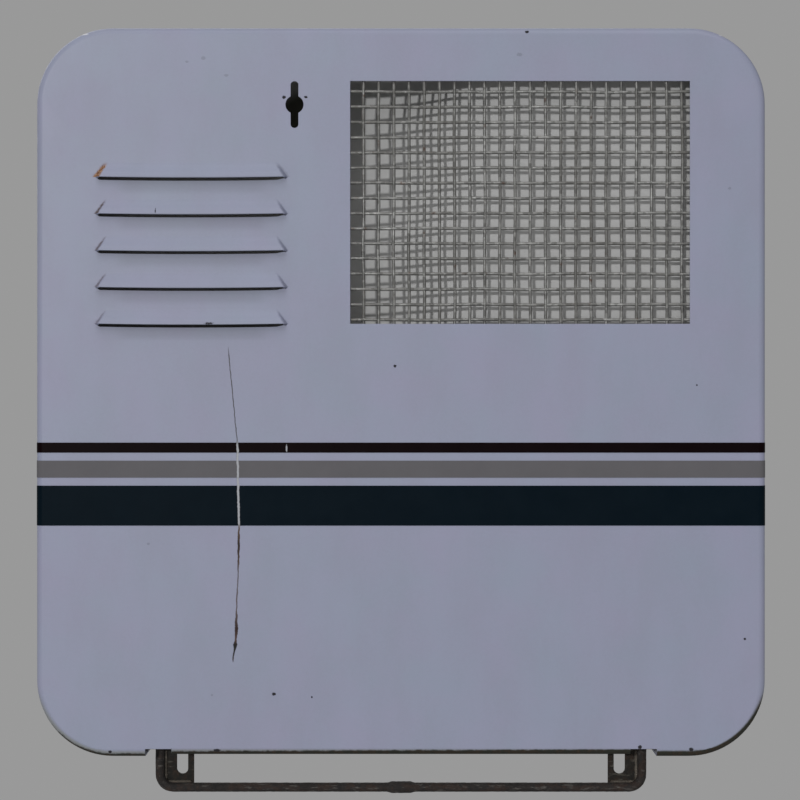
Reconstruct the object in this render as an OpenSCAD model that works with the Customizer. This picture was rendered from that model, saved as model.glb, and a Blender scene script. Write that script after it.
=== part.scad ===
// Access door of a caravan water heater, with the bent rod hinge that carries its lower edge.
// The door is a pan pressed from steel sheet. It has five rain louvres, a keyhole for the latch
// and an exhaust window of square wire cloth, and three vinyl stripes run across it.
// X is to the right, Y into the wall and Z up, in millimetres. The back faces of the hinge's
// two tabs lie on y = 0. The origin is the middle of the left tab's slot, on that back face.

/* [Door pan] */
// Width over the outside of the pan
door_w = 305; // [300:1:340]
// Height over the outside of the pan
door_h = 305; // [300:1:340]
// Depth of the pan, from its rim to the outside of its face
door_depth = 22; // [20:0.5:26]
// Thickness of the pressed sheet
sheet_t = 0.8; // [0.6:0.1:1.2]
// Radius of the pan's four corners, seen from the front
corner_r = 32; // [29:0.5:34]
// Outside radius of the bend between the face and the flange
bend_r = 3; // [2.5:0.1:3.5]
// Gap between the pan's rim and the plane that the tabs are screwed to
rim_gap = 0.5; // [0.2:0.1:1]

/* [Lower edge] */
// How far the edge between the notches is raised
lip_rise = 1.5; // [1:0.1:2]
// Depth of the bent lip between the notches, from the outside of the face
lip_depth = 5; // [4:0.5:7]
// Distance from a leg's middle line to the middle of its notch, inwards
notch_in = 1; // [0.5:0.1:1.5]
// Width of each notch
notch_w = 11; // [10:0.5:12]
// Height of each notch, from the pan's lower edge
notch_rise = 3.2; // [3:0.1:3.6]

/* [Louvres] */
// Number of louvres
louvre_count = 5; // [1:1:6]
// Distance from one louvre to the next
louvre_pitch = 15.35; // [12:0.05:17]
// Width of each louvre at its lip
louvre_w = 80.7; // [60:0.1:86]
// Distance of the louvres' middle to the left of the door's middle
louvre_x = 87.6; // [84:0.1:92]
// Distance of the top louvre's lip below the pan's top
louvre_drop = 62.6; // [54:0.1:72]
// Height of a hood, from its lip to where it meets the face
hood_h = 6.3; // [5:0.1:8]
// How far a hood stands out of the face
hood_out = 3; // [2.4:0.1:4]
// How much narrower a hood is at its top, on each side
hood_taper = 4.2; // [2:0.1:5]
// Slope of a hood's ends, as the inset at the full stand-out
hood_draft = 1.6; // [0.5:0.1:3]
// Height of the open slit below the lip
slit_h = 1.3; // [0.8:0.1:2]

/* [Latch keyhole] */
// Distance of the keyhole to the left of the door's middle
latch_x = 44.5; // [43.5:0.1:45]
// Distance of the keyhole below the pan's top
latch_drop = 32.3; // [24:0.1:37]
// Diameter of the round hole
latch_d = 7.5; // [5:0.1:9]
// Width of the vertical slot
latch_slot_w = 3.2; // [2:0.1:4.5]
// Length of the vertical slot
latch_slot_h = 19.5; // [14:0.5:24]

/* [Exhaust window] */
// Width of the window
window_w = 142; // [138:0.5:143]
// Height of the window
window_h = 101.5; // [98:0.5:103]
// Distance of the window's middle to the right of the door's middle
window_x = 49.8; // [49.5:0.1:51]
// Distance of the window's upper edge below the pan's top
window_drop = 22.45; // [20:0.05:26]

/* [Wire cloth] */
// Distance from one wire to the next
wire_pitch = 6.35; // [6.3:0.01:6.4]
// Diameter of a wire
wire_d = 0.8; // [0.6:0.1:1]
// How far crossing wires are sunk into each other by their weld
wire_sink = 0.1; // [0.05:0.05:0.2]
// Distance of the first upright wire outside the window's left edge
first_upright = 0.84; // [0.6:0.02:1]
// Distance of the first level wire above the window's top edge
first_level = 1.9; // [1.5:0.1:2.2]
// Gap between the wires' ends and the step of the clamp strips
wire_gap = 1; // [0.5:0.1:3]

/* [Clamp strips] */
// Thickness of the strips that hold the wire cloth
strip_t = 0.8; // [0.6:0.1:1]
// Distance from the window's edge to a strip's inner edge
strip_back = 1.5; // [1.4:0.1:2]
// Width of the part of a strip that presses on the wires
strip_clamp = 6; // [6:0.1:6.4]
// Width of the part of a strip that is welded to the face
strip_pad = 6; // [4:0.1:6]

/* [Hinge bail] */
// Diameter of the rod
rod_d = 4; // [3.8:0.1:4.2]
// Radius of the rod's bends, at its middle line
rod_bend = 4; // [3.6:0.1:4.2]
// Distance from the pan's side to the middle line of the leg nearest to it
leg_inset = 50; // [50:0.5:60]
// Drop of the lower rod's middle line below the pan's lower edge
rod_drop = 15.6; // [15:0.1:18]
// Height of the pivot above the pan's lower edge
pivot_rise = 4; // [3.9:0.1:4.5]
// How far the rod's ends stand out past the ears
pivot_past = 4; // [1:0.5:6]
// Diameter of the swell where the rod's two halves are butt welded
weld_d = 5.1; // [4.4:0.1:6]
// Length of the full diameter of the swell
weld_len = 7.6; // [4:0.1:10]
// Length of each of the swell's tapers
weld_taper = 2.4; // [1.5:0.1:4]

/* [Tabs] */
// Thickness of the tabs
tab_t = 2; // [2:0.1:2.5]
// Distance from a leg's middle line to the middle of its slot, inwards
slot_in = 9.3; // [8.5:0.1:11]
// Width of each slot
slot_w = 4.8; // [4:0.1:5.2]
// Length of each slot
slot_len = 16; // [12:0.5:18]
// Depth of the slot's middle below the pan's lower edge
slot_drop = 2.3; // [1:0.1:4]
// Distance from a slot's middle to the tab's inner edge
tab_edge = 4.9; // [4.4:0.1:6]
// Height of the tab's top above the pan's lower edge
tab_rise = 10; // [9:0.5:14]
// Radius of the tab's corners
tab_corner = 1.5; // [0.5:0.1:2.2]

/* [Pivot ears] */
// Thickness of the ears
ear_t = 1.5; // [1.2:0.1:2]
// Clearance between the rod's end and the bore of an ear, on the radius
pivot_clearance = 0.05; // [0.03:0.01:0.09]
// Distance from the notch's outer edge to an ear
ear_back = 1; // [0.5:0.1:1.5]
// Radius of an ear around its bore
ear_r = 3.5; // [3.4:0.1:3.7]
// Length of an ear in front of its bore
ear_len = 12; // [10:0.5:13]
// Gap between an ear's foot and the pan's round corner
foot_clear = 1; // [0.5:0.5:5]
// Distance from the bore's middle to the foot
foot_gap = 4; // [3:0.5:5]

/* [Stripes] */
// Thickness of the vinyl
vinyl_t = 0.15; // [0.1:0.05:0.3]
// How far a stripe runs back along the side flanges
vinyl_wrap = 14; // [6:0.5:16]
// Distance of the maroon stripe below the pan's top
stripe_drop = 173.6; // [150:0.1:190]
// Gap between one stripe and the next
stripe_gap = 3.35; // [1:0.05:6]
// Height of the maroon stripe
maroon_h = 4.2; // [2:0.1:6]
// Height of the grey stripe
grey_h = 7.1; // [4:0.1:10]
// Height of the navy stripe
navy_h = 16.7; // [10:0.1:24]

/* [Hidden] */

$fn = 64;
// How far a cut runs past the surface that it goes through
past = 1;
// Points along a hood's curve
hood_steps = 8;

bottom_z = slot_drop;
middle_z = bottom_z + door_h / 2;
rod_y = -(tab_t + rod_d / 2);
rod_z = bottom_z - rod_drop;
pivot_z = bottom_z + pivot_rise;
leg_x = door_w / 2 - leg_inset;
slot_x = leg_x - slot_in;
notch_x = leg_x - notch_in;
lip_half = notch_x - notch_w / 2;
tab_w = tab_edge + slot_in + rod_d / 2;
tab_top = bottom_z + tab_rise;
ear_x = notch_x + notch_w / 2 + ear_back;
foot_end = door_w / 2 - corner_r - foot_clear;
pivot_end = ear_x + ear_t + pivot_past;
// Height of the sheet's inner surface over the rim
face_in = door_depth - sheet_t;
// Height of the window's middle above the door's middle
window_z = door_h / 2 - window_drop - window_h / 2;
strip_out = strip_back + strip_clamp + strip_pad;
wire_past = strip_back + strip_clamp - wire_gap;
wire_r = wire_d / 2 / cos(30);
cloth_t = 2 * wire_d - wire_sink;
upright_wires = floor((window_w + first_upright) / wire_pitch) + 1;
level_wires = floor((window_h + first_level) / wire_pitch) + 1;
grey_drop = stripe_drop + maroon_h + stripe_gap;
navy_drop = grey_drop + grey_h + stripe_gap;

// Moves what is drawn about the door's middle to its place beside the origin
module from_middle() {
  translate([slot_x, 0, 0]) children();
}

// Stands up what is drawn lying down: x to the right, y up the door, z out of its face from the rim
module on_pan() {
  translate([0, -rim_gap, middle_z]) rotate([90, 0, 0]) children();
}

// Draws an outline along the door's width: the outline's x goes up the door, its y out of the face
module along_width(length) {
  translate([-length / 2, 0, 0]) rotate([90, 0, 90]) linear_extrude(length) children();
}

// Draws an outline down the door from y: the outline's x is the door's, its y goes out of the face
module down_from(y, length) {
  translate([0, y, 0]) rotate([90, 0, 0]) linear_extrude(length) children();
}

// Pan

// Section through a pan from a corner's axis outwards, with its outer front edge round
module rim_section(r, depth, bend) {
  square([r, depth - bend]);
  square([r - bend, depth]);
  translate([r - bend, depth - bend]) circle(bend);
}

// A full pan, with its back on z = 0
module pan_solid(w, h, depth, r, bend) {
  translate([-(w / 2 - r), -(h / 2 - r), 0]) cube([w - 2 * r, h - 2 * r, depth]);
  for (turn = [0 : 3]) {
    along = turn % 2 == 0 ? w : h;
    across = turn % 2 == 0 ? h : w;
    rotate([0, 0, 90 * turn]) {
      translate([0, across / 2 - r, 0]) along_width(along - 2 * r) rim_section(r, depth, bend);
      translate([along / 2 - r, across / 2 - r, 0])
        rotate_extrude(angle = 90) rim_section(r, depth, bend);
    }
  }
}

module pan_shell() {
  difference() {
    pan_solid(door_w, door_h, door_depth, corner_r, bend_r);
    translate([0, 0, -past])
      pan_solid(door_w - 2 * sheet_t, door_h - 2 * sheet_t, face_in + past,
                corner_r - sheet_t, bend_r - sheet_t);
  }
}

// Lip section, from its underside upwards and from the face backwards
module lip_section() {
  translate([0, -lip_depth]) square([sheet_t, lip_depth - bend_r]);
  intersection() {
    translate([0, -bend_r]) square(bend_r);
    translate([bend_r, -bend_r]) difference() {
      circle(bend_r);
      circle(bend_r - sheet_t);
    }
  }
}

module lower_lip() {
  translate([0, lip_rise - door_h / 2, door_depth]) along_width(2 * lip_half) lip_section();
}

// What is cut off the pan's lower edge where the lip takes its place
module lip_cut() {
  translate([-lip_half, -door_h / 2 - past, -past])
    cube([2 * lip_half, lip_rise + bend_r + past, door_depth + 2 * past]);
}

module notch_cuts() {
  for (side = [-1, 1])
    translate([side * notch_x - notch_w / 2, -door_h / 2 - past, -past])
      cube([notch_w, notch_rise + past, door_depth + 2 * past]);
}

// Louvres

// How far a hood stands out at a height over its lip
function hood_at(u) = hood_out * (1 + cos(180 * u / hood_h)) / 2;
function hood_curve(inset) =
  [for (i = [0 : hood_steps]) let (u = hood_h * i / hood_steps) [u, hood_at(u) - inset]];

// One hood or its hollow: three prisms cut each other. inset is 0 or the sheet's thickness
module hood(w, inset, below, under) {
  intersection() {
    along_width(w)
      polygon(concat([[-below, -under], [-below, hood_out - inset]], hood_curve(inset),
                     [[hood_h, -under]]));
    translate([0, 0, -under])
      linear_extrude(under + hood_out)
        polygon([[-w / 2, -below], [w / 2, -below], [w / 2, 0], [w / 2 - hood_taper, hood_h],
                 [hood_taper - w / 2, hood_h], [-w / 2, 0]]);
    down_from(hood_h, hood_h + below)
      polygon([[-w / 2, -under], [w / 2, -under], [w / 2, -inset],
               [w / 2 - hood_draft, hood_out - inset], [hood_draft - w / 2, hood_out - inset],
               [-w / 2, -inset]]);
  }
}

module at_louvres() {
  for (i = [0 : louvre_count - 1])
    translate([-louvre_x, door_h / 2 - louvre_drop - i * louvre_pitch, door_depth]) children();
}

// Holes

module keyhole_cut() {
  translate([-latch_x, door_h / 2 - latch_drop, face_in - past])
    linear_extrude(sheet_t + 2 * past) {
      circle(d = latch_d);
      square([latch_slot_w, latch_slot_h - latch_slot_w], center = true);
      for (end = [-1, 1])
        translate([0, end * (latch_slot_h - latch_slot_w) / 2]) circle(d = latch_slot_w);
    }
}

module window_cut() {
  translate([window_x - window_w / 2, window_z - window_h / 2, face_in - past])
    cube([window_w, window_h, sheet_t + 2 * past]);
}

module door_panel() {
  color([0.56, 0.57, 0.65]) on_pan() difference() {
    union() {
      difference() {
        pan_shell();
        lip_cut();
      }
      lower_lip();
      at_louvres() hood(louvre_w, 0, 0, sheet_t);
    }
    at_louvres() hood(louvre_w - 2 * sheet_t, sheet_t, slit_h, sheet_t + past);
    keyhole_cut();
    window_cut();
    notch_cuts();
  }
}

// Wire cloth

// One straight six-sided wire along x, with flats to the front and back
module wire(length) {
  rotate([0, 90, 0]) rotate([0, 0, 30]) cylinder(r = wire_r, h = length, $fn = 6);
}

// The upright wires lie against the face and the level wires behind them
module exhaust_screen() {
  left = window_x - window_w / 2;
  top = window_z + window_h / 2;
  upright_z = face_in - wire_d / 2;
  level_z = upright_z - wire_d + wire_sink;
  color([0.62, 0.62, 0.63]) on_pan() {
    for (i = [0 : upright_wires - 1])
      translate([left - first_upright + i * wire_pitch, top - window_h - wire_past, upright_z])
        rotate([0, 0, 90]) wire(window_h + 2 * wire_past);
    for (i = [0 : level_wires - 1])
      translate([left - wire_past, top + first_level - i * wire_pitch, level_z])
        wire(window_w + 2 * wire_past);
  }
}

// Clamp strips

// Stepped section, from the inner edge outwards and from the face's inner surface backwards
module strip_section() {
  step = strip_clamp;
  polygon([[0, -cloth_t], [step, -cloth_t], [step, 0], [step + strip_pad, 0],
           [step + strip_pad, -strip_t], [step + strip_t, -strip_t],
           [step + strip_t, -cloth_t - strip_t], [0, -cloth_t - strip_t]]);
}

// A strip on the side of the window that turn points to, with half being the window's half size
module screen_strip(turn, half, length) {
  color([0.56, 0.57, 0.65]) on_pan()
    translate([window_x, window_z, face_in]) rotate([0, 0, turn])
      translate([0, half + strip_back, 0]) along_width(length) strip_section();
}

module screen_strip_top() screen_strip(0, window_h / 2, window_w + 2 * strip_out);
module screen_strip_bottom() screen_strip(180, window_h / 2, window_w + 2 * strip_out);
module screen_strip_left() screen_strip(90, window_w / 2, window_h + 2 * strip_back);
module screen_strip_right() screen_strip(-90, window_w / 2, window_h + 2 * strip_back);

// Pivot ears

// An ear seen from the side, standing on the flange, with its upper rear corner round
module ear_plate_outline() {
  floor_z = bottom_z + sheet_t;
  difference() {
    union() {
      intersection() {
        translate([rod_y, pivot_z]) circle(ear_r);
        translate([rod_y, floor_z]) square([ear_r, pivot_z + ear_r - floor_z]);
      }
      translate([rod_y - ear_len, floor_z]) square([ear_len, pivot_z + ear_r - floor_z]);
      translate([rod_y, floor_z]) square([ear_r, pivot_z - floor_z]);
    }
    translate([rod_y, pivot_z]) circle(rod_d / 2 + pivot_clearance);
  }
}

// The right ear. Its foot lies on the flange, in front of the rod's end
module pivot_ear() {
  color([0.5, 0.5, 0.52]) union() {
    translate([ear_x, 0, 0]) rotate([90, 0, 90]) linear_extrude(ear_t) ear_plate_outline();
    translate([ear_x, rod_y - ear_len, bottom_z + sheet_t])
      cube([foot_end - ear_x, ear_len - foot_gap, ear_t]);
  }
}

module pivot_ear_left() mirror([1, 0, 0]) pivot_ear();
module pivot_ear_right() pivot_ear();

// Stripes

// Outline of the door seen from above, grown by a thickness
module top_outline(grow) {
  translate([bend_r - door_w / 2, 0]) square([door_w - 2 * bend_r, door_depth + grow]);
  translate([-door_w / 2 - grow, 0]) square([door_w + 2 * grow, door_depth - bend_r]);
  for (side = [-1, 1])
    translate([side * (door_w / 2 - bend_r), door_depth - bend_r]) circle(bend_r + grow);
}

// A band that lies on the face and both side flanges, a distance below the pan's top
module stripe(drop, height) {
  on_pan() down_from(door_h / 2 - drop, height) difference() {
    intersection() {
      top_outline(vinyl_t);
      translate([-door_w, door_depth - vinyl_wrap]) square([2 * door_w, vinyl_wrap + past]);
    }
    top_outline(0);
  }
}

module stripe_maroon() color([0.2, 0.05, 0.08]) stripe(stripe_drop, maroon_h);
module stripe_grey() color([0.36, 0.35, 0.37]) stripe(grey_drop, grey_h);
module stripe_navy() color([0.05, 0.09, 0.14]) stripe(navy_drop, navy_h);

// Hinge bail

// Half of the lower rod's section, turned about its middle line to make the swell at the weld
module lower_rod() {
  half = leg_x - rod_bend;
  r = rod_d / 2;
  flat = weld_len / 2;
  taper_end = flat + weld_taper;
  translate([0, rod_y, rod_z]) rotate([0, 90, 0]) rotate_extrude()
    polygon([[0, -half], [r, -half], [r, -taper_end], [weld_d / 2, -flat], [weld_d / 2, flat],
             [r, taper_end], [r, half], [0, half]]);
}

// A quarter bend about a point, that starts at an angle from the x direction
module rod_quarter(x, z, start) {
  translate([x, rod_y, z]) rotate([90, 0, 0]) rotate([0, 0, start])
    rotate_extrude(angle = 90) translate([rod_bend, 0]) circle(rod_d / 2);
}

// Everything of the bail to the right of its lower rod
module right_leg() {
  rod_quarter(leg_x - rod_bend, rod_z + rod_bend, -90);
  translate([leg_x, rod_y, rod_z + rod_bend])
    cylinder(d = rod_d, h = pivot_z - rod_z - 2 * rod_bend);
  rod_quarter(leg_x + rod_bend, pivot_z - rod_bend, 90);
  translate([leg_x + rod_bend, rod_y, pivot_z]) rotate([0, 90, 0])
    cylinder(d = rod_d, h = pivot_end - leg_x - rod_bend);
}

module hinge_bail() {
  color([0.24, 0.18, 0.15]) union() {
    lower_rod();
    right_leg();
    mirror([1, 0, 0]) right_leg();
  }
}

// Tabs

// Tab plate seen from the front, with the slot's middle as its origin and the leg to the right
module tab_outline() {
  h = tab_top - rod_z;
  difference() {
    translate([-tab_edge, rod_z]) {
      translate([tab_corner, 0]) square([tab_w - 2 * tab_corner, h]);
      translate([0, tab_corner]) square([tab_w, h - 2 * tab_corner]);
      for (x = [tab_corner, tab_w - tab_corner], z = [tab_corner, h - tab_corner])
        translate([x, z]) circle(tab_corner);
    }
    square([slot_w, slot_len - slot_w], center = true);
    for (end = [-1, 1]) translate([0, end * (slot_len - slot_w) / 2]) circle(slot_w / 2);
  }
}

module hinge_tab() {
  color([0.24, 0.18, 0.15])
    translate([slot_x, 0, 0]) rotate([90, 0, 0]) linear_extrude(tab_t) tab_outline();
}

module hinge_tab_left() mirror([1, 0, 0]) hinge_tab();
module hinge_tab_right() hinge_tab();

from_middle() door_panel();
from_middle() exhaust_screen();
from_middle() screen_strip_top();
from_middle() screen_strip_bottom();
from_middle() screen_strip_left();
from_middle() screen_strip_right();
from_middle() pivot_ear_left();
from_middle() pivot_ear_right();
from_middle() stripe_maroon();
from_middle() stripe_grey();
from_middle() stripe_navy();
from_middle() hinge_bail();
from_middle() hinge_tab_left();
from_middle() hinge_tab_right();
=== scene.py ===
import math

import bmesh
import bpy
from mathutils import Matrix, Vector, noise


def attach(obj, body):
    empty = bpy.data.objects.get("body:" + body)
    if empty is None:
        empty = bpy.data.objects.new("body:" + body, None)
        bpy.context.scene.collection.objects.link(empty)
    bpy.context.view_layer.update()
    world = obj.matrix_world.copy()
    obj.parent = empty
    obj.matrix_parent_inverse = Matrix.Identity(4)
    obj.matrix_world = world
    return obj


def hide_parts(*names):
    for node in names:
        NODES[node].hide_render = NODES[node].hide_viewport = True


# Looks of a caravan water heater's access door, built round its CAD frame.
# Lengths are in metres, in the CAD's frame: X to the right, Y into the wall and Z up.
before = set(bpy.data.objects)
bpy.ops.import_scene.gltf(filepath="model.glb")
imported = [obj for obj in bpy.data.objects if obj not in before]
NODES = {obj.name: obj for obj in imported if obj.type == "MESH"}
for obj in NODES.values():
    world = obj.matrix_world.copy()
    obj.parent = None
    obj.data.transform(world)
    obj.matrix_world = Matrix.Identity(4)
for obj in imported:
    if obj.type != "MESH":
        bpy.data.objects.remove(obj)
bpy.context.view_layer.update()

MM = 0.001
TINY = 1e-5

# Pan
DOOR_X = 93.2 * MM
DOOR_Z = 154.8 * MM
DOOR_SIZE = 305 * MM
DOOR_BOTTOM = DOOR_Z - DOOR_SIZE / 2
FACE_Y = -22.5 * MM
RIM_Y = -0.5 * MM
CORNER_R = 32 * MM
BEND_R = 3 * MM
SHEET_T = 0.8 * MM

# Lower edge
LIP_RISE = 0.8 * MM
LIP_BACK = 2 * MM
LIP_HALF = 96 * MM
NOTCH_W = 11 * MM
NOTCH_RISE = 3.2 * MM

# Louvres
LOUVRE_COUNT = 5
LOUVRE_PITCH = 15.35 * MM
LOUVRE_HALF = 40.35 * MM
LOUVRE_X = 5.6 * MM
TOP_LIP_Z = 244.7 * MM
HOOD_H = 6.3 * MM
HOOD_OUT = 3 * MM
HOOD_TAPER = 4.2 * MM
HOOD_DRAFT = 1.5 * MM
LIP_SAG = 0.45 * MM
SLIT_H = 1.1 * MM
SLIT_POINT = 5 * MM

# Latch keyhole
KEYHOLE_X = 48.7 * MM
KEYHOLE_Z = 275 * MM
KEYHOLE_R = 3.75 * MM
KEYHOLE_SLOT_R = 1.6 * MM
KEYHOLE_SLOT_HALF = 9.75 * MM

# Exhaust window and its wire cloth
WINDOW_LEFT = 72 * MM
WINDOW_RIGHT = 214 * MM
WINDOW_LOW = 183.35 * MM
WINDOW_HIGH = 284.85 * MM
WIRE_PITCH = 6.35 * MM
WIRE_R = 0.67 * MM
CLOTH_Y = -20.95 * MM
WEAVE_DEPTH = 0.16 * MM
FIRST_UPRIGHT_X = 71.16 * MM
FIRST_LEVEL_Z = 286.75 * MM
UPRIGHTS = 23
LEVELS = 17
CLOTH_LEFT = 65.5 * MM
CLOTH_RIGHT = 220.5 * MM
CLOTH_LOW = 176.85 * MM
CLOTH_HIGH = 291.35 * MM


# Small helpers


def new_piece(name, bm, body, material, smooth_angle=40):
    """Turns a bmesh into a shaded object that rides on a body."""
    mesh = bpy.data.meshes.new(name)
    bm.to_mesh(mesh)
    bm.free()
    mesh.shade_smooth()
    mesh.set_sharp_from_angle(angle=math.radians(smooth_angle))
    mesh.materials.append(material)
    piece = bpy.data.objects.new(name, mesh)
    bpy.context.scene.collection.objects.link(piece)
    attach(piece, body)
    return piece


def turn(degrees, axis):
    return Matrix.Rotation(math.radians(degrees), 4, axis)


def place(x, y, z):
    return Matrix.Translation((x, y, z))


def smooth_step(value):
    value = min(max(value, 0), 1)
    return value * value * (3 - 2 * value)


def near(value, other):
    return abs(value - other) < TINY


def faces_where(bm, test):
    """Faces whose middle passes a test."""
    return [face for face in bm.faces if test(face.calc_center_median())]


def cut_across(bm, axis, where, test=None):
    """Cuts the faces whose middle passes a test by a plane across an axis."""
    faces = bm.faces[:] if test is None else faces_where(bm, test)
    edges = {edge for face in faces for edge in face.edges}
    verts = {vert for face in faces for vert in face.verts}
    normal = Vector((0, 0, 0))
    normal["xyz".index(axis)] = 1
    bmesh.ops.bisect_plane(bm, geom=[*verts, *edges, *faces], dist=TINY / 10,
                           plane_co=normal * where, plane_no=normal)


def drop_faces(bm, test):
    bmesh.ops.delete(bm, geom=faces_where(bm, test), context="FACES")


def face_outwards(bm, direction, test):
    """Gives all faces one turn, so that those which pass a test face a direction."""
    bmesh.ops.recalc_face_normals(bm, faces=bm.faces[:])
    facing = sum(face.normal.dot(direction) for face in faces_where(bm, test))
    if facing < 0:
        bmesh.ops.reverse_faces(bm, faces=bm.faces[:])


# Pressed panel


def pan_blank(bm):
    """Draws a square with round corners out into an open pan with a round front edge."""
    sheet = bmesh.ops.create_grid(bm, x_segments=1, y_segments=1, size=DOOR_SIZE / 2,
                                  matrix=place(DOOR_X, RIM_Y, DOOR_Z) @ turn(90, "X"))
    bmesh.ops.bevel(bm, geom=sheet["verts"], offset=CORNER_R, offset_type="OFFSET",
                    affect="VERTICES", segments=20, profile=0.5, material=-1)
    drawn = bmesh.ops.extrude_face_region(bm, geom=bm.faces[:])["geom"]
    front = [item for item in drawn if isinstance(item, bmesh.types.BMVert)]
    bmesh.ops.translate(bm, verts=front, vec=(0, FACE_Y - RIM_Y, 0))
    drop_faces(bm, lambda middle: near(middle.y, RIM_Y))
    rim = [edge for edge in bm.edges if all(near(vert.co.y, FACE_Y) for vert in edge.verts)]
    bmesh.ops.bevel(bm, geom=rim, offset=BEND_R, offset_type="OFFSET", affect="EDGES",
                    segments=6, profile=0.5, material=-1)


def lower_lip(bm):
    """Cuts the two notches, and bends the edge between them back as a short raised lip."""
    notch_end = LIP_HALF + NOTCH_W
    for across in (-notch_end, -LIP_HALF, LIP_HALF, notch_end):
        cut_across(bm, "x", DOOR_X + across)
    notch_top = DOOR_BOTTOM + NOTCH_RISE
    lip_top = DOOR_BOTTOM + LIP_RISE + BEND_R
    for level in (notch_top, lip_top):
        cut_across(bm, "z", level)
    drop_faces(bm, lambda middle: abs(middle.x - DOOR_X) < notch_end and middle.z < notch_top)
    drop_faces(bm, lambda middle: abs(middle.x - DOOR_X) < LIP_HALF and middle.z < lip_top)
    row = [edge for edge in bm.edges if edge.is_boundary
           and all(near(vert.co.z, lip_top) for vert in edge.verts)]
    bend = bmesh.ops.spin(bm, geom=row, cent=(0, FACE_Y + BEND_R, lip_top), axis=(1, 0, 0),
                          angle=math.radians(90), steps=6)["geom_last"]
    last_row = [item for item in bend if isinstance(item, bmesh.types.BMEdge)]
    drawn = bmesh.ops.extrude_edge_only(bm, edges=last_row)["geom"]
    back = [item for item in drawn if isinstance(item, bmesh.types.BMVert)]
    bmesh.ops.translate(bm, verts=back, vec=(0, LIP_BACK, 0))


def on_face(middle):
    return middle.y < FACE_Y + TINY


def louvre_lip(index):
    return TOP_LIP_Z - index * LOUVRE_PITCH


def in_louvres(middle):
    return (on_face(middle) and abs(middle.x - LOUVRE_X) < LOUVRE_HALF + 8 * MM
            and louvre_lip(LOUVRE_COUNT) < middle.z < TOP_LIP_Z + LOUVRE_PITCH)


def louvre_lines(bm):
    """Cuts the grid that the hoods are pressed from."""
    cut_across(bm, "x", LOUVRE_X - LOUVRE_HALF - 8 * MM, on_face)
    cut_across(bm, "x", LOUVRE_X + LOUVRE_HALF + 8 * MM, on_face)
    cut_across(bm, "z", TOP_LIP_Z + LOUVRE_PITCH, on_face)
    cut_across(bm, "z", louvre_lip(LOUVRE_COUNT), on_face)
    for side in (-1, 1):
        for inset in (0, 0.4, 0.8, 1.2, 1.7, 2.2, 4, 8, 14, 22, 31):
            cut_across(bm, "x", LOUVRE_X + side * (LOUVRE_HALF - inset * MM), in_louvres)
    for index in range(LOUVRE_COUNT):
        lip = louvre_lip(index)
        for rise in (-SLIT_H, 0, 0.4 * MM, *(HOOD_H * step / 8 for step in range(1, 9))):
            cut_across(bm, "z", lip + rise, in_louvres)


def hood_stand_out(inset, rise):
    """How far a hood stands out, from the distance to its end and the height over its lip."""
    along = (1 + math.cos(math.pi * rise / HOOD_H)) / 2
    return HOOD_OUT * along * smooth_step(inset / HOOD_DRAFT)


def press_louvres(bm):
    """Opens the slits, slants the hoods' ends and presses the hoods out."""
    for index in range(LOUVRE_COUNT):
        lip = louvre_lip(index)
        drop_faces(bm, lambda middle: on_face(middle)
                   and abs(middle.x - LOUVRE_X) < LOUVRE_HALF - SHEET_T / 2
                   and lip - SLIT_H < middle.z < lip)
    flat = [vert for vert in bm.verts if in_louvres(vert.co)]
    for vert in flat:
        below_top = TOP_LIP_Z - vert.co.z
        index = math.ceil(below_top / LOUVRE_PITCH - TINY)
        rise = vert.co.z - louvre_lip(index)
        across = vert.co.x - LOUVRE_X
        inset = LOUVRE_HALF - abs(across)
        if rise < HOOD_H + TINY:
            slant = HOOD_TAPER * max(rise, 0) / HOOD_H
            if 0 <= index < LOUVRE_COUNT and inset > 0:
                vert.co.y -= hood_stand_out(inset, rise)
        else:
            slant = HOOD_TAPER * (LOUVRE_PITCH - rise) / (LOUVRE_PITCH - HOOD_H)
        if inset > 0:
            to_lip = min(rise, LOUVRE_PITCH - rise) / HOOD_H
            vert.co.z -= LIP_SAG * (1 - (across / LOUVRE_HALF) ** 2) * smooth_step(1 - to_lip)
            if near(rise, LOUVRE_PITCH - SLIT_H):
                point = SLIT_POINT if across > 0 else SLIT_POINT / 3
                vert.co.z += 0.7 * SLIT_H * (1 - smooth_step(inset / point))
        if inset > 0:
            share = min(1, (LOUVRE_HALF - inset) / (LOUVRE_HALF - 8 * MM))
        else:
            share = 1 + inset / (8 * MM)
        vert.co.x -= math.copysign(slant * max(share, 0), across)


def window_opening(bm):
    for across in (WINDOW_LEFT, WINDOW_RIGHT):
        cut_across(bm, "x", across, on_face)
    for level in (WINDOW_LOW, WINDOW_HIGH):
        cut_across(bm, "z", level, on_face)
    drop_faces(bm, lambda middle: on_face(middle) and WINDOW_LEFT < middle.x < WINDOW_RIGHT
               and WINDOW_LOW < middle.z < WINDOW_HIGH)


def in_keyhole(middle):
    across = middle.x - KEYHOLE_X
    up = abs(middle.z - KEYHOLE_Z)
    slot_end = KEYHOLE_SLOT_HALF - KEYHOLE_SLOT_R
    if math.hypot(across, up) < KEYHOLE_R:
        return True
    if up < slot_end:
        return abs(across) < KEYHOLE_SLOT_R
    return math.hypot(across, up - slot_end) < KEYHOLE_SLOT_R


def round_cut(bm, x, z, radius, sides, test):
    """Cuts the faces that pass a test along the sides of a many-sided round hole."""
    for side in range(sides):
        normal = Vector((math.cos(2 * math.pi * side / sides), 0, math.sin(2 * math.pi * side / sides)))
        faces = faces_where(bm, test)
        edges = {edge for face in faces for edge in face.edges}
        verts = {vert for face in faces for vert in face.verts}
        bmesh.ops.bisect_plane(bm, geom=[*verts, *edges, *faces], dist=TINY / 10,
                               plane_co=Vector((x, 0, z)) + normal * radius, plane_no=normal)


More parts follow.
